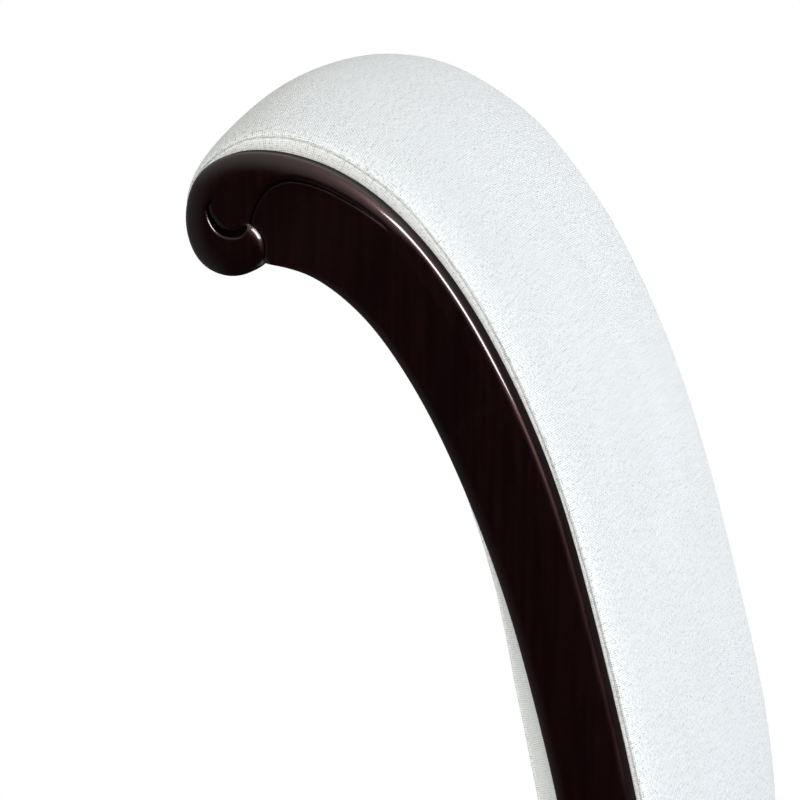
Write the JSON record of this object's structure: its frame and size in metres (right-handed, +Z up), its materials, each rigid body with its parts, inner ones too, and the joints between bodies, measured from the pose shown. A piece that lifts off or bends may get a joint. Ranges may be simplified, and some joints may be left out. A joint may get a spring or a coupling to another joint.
{
  "type": "klismos dining chair",
  "caption": "Klismos dining chair with carved scroll stiles in dark lacquered mahogany, sabre legs, a linen slip seat and a rolled upholstered back.",
  "frame": {"origin": "on the floor at the centre of the chair's bounding box", "axes": "+Z up, +X to the sitter's left, the sitter faces -Y"},
  "size_m": [0.5028, 0.7334, 0.9054],
  "materials": {
    "lacquered_mahogany": "very dark espresso stain under a gloss lacquer",
    "beech": "planed, unfinished",
    "plywood": "sanded, unfinished",
    "linen": "plain-woven off-white linen with small slubs",
    "foam": "cut upholstery padding",
    "black_cambric": "matt non-woven dust cloth",
    "zinc_screw": "bright zinc plate",
    "nylon_glide": "smooth dark nylon"
  },
  "bodies": {
    "root": {"rear_leg_stile_left": "lacquered_mahogany", "rear_leg_stile_right": "lacquered_mahogany", "front_leg_left": "lacquered_mahogany", "front_leg_right": "lacquered_mahogany", "side_rail_left": "lacquered_mahogany", "side_rail_right": "lacquered_mahogany", "front_rail": "lacquered_mahogany", "rear_rail": "lacquered_mahogany", "corner_block_front_left": "beech", "corner_block_front_right": "beech", "corner_block_rear_left": "beech", "corner_block_rear_right": "beech", "back_roll_core": "beech", "back_rail_upper": "beech", "back_rail_lower": "beech", "seat_board": "plywood", "back_panel": "plywood", "seat_cover": "linen", "back_inside_cover": "linen", "back_outside_cover": "linen", "back_boxing_left": "linen", "back_boxing_right": "linen", "seat_foam": "foam", "back_foam": "foam", "seat_dust_cover": "black_cambric", "block_screw_front_side_left": "zinc_screw", "block_screw_front_side_right": "zinc_screw", "block_screw_front_cross_left": "zinc_screw", "block_screw_front_cross_right": "zinc_screw", "block_screw_rear_side_left": "zinc_screw", "block_screw_rear_side_right": "zinc_screw", "block_screw_rear_cross_left": "zinc_screw", "block_screw_rear_cross_right": "zinc_screw", "seat_screw_front_left": "zinc_screw", "seat_screw_front_right": "zinc_screw", "seat_screw_rear_left": "zinc_screw", "seat_screw_rear_right": "zinc_screw", "glide_front_left": "nylon_glide", "glide_front_right": "nylon_glide", "glide_rear_left": "nylon_glide", "glide_rear_right": "nylon_glide"}
  },
  "joints": []
}
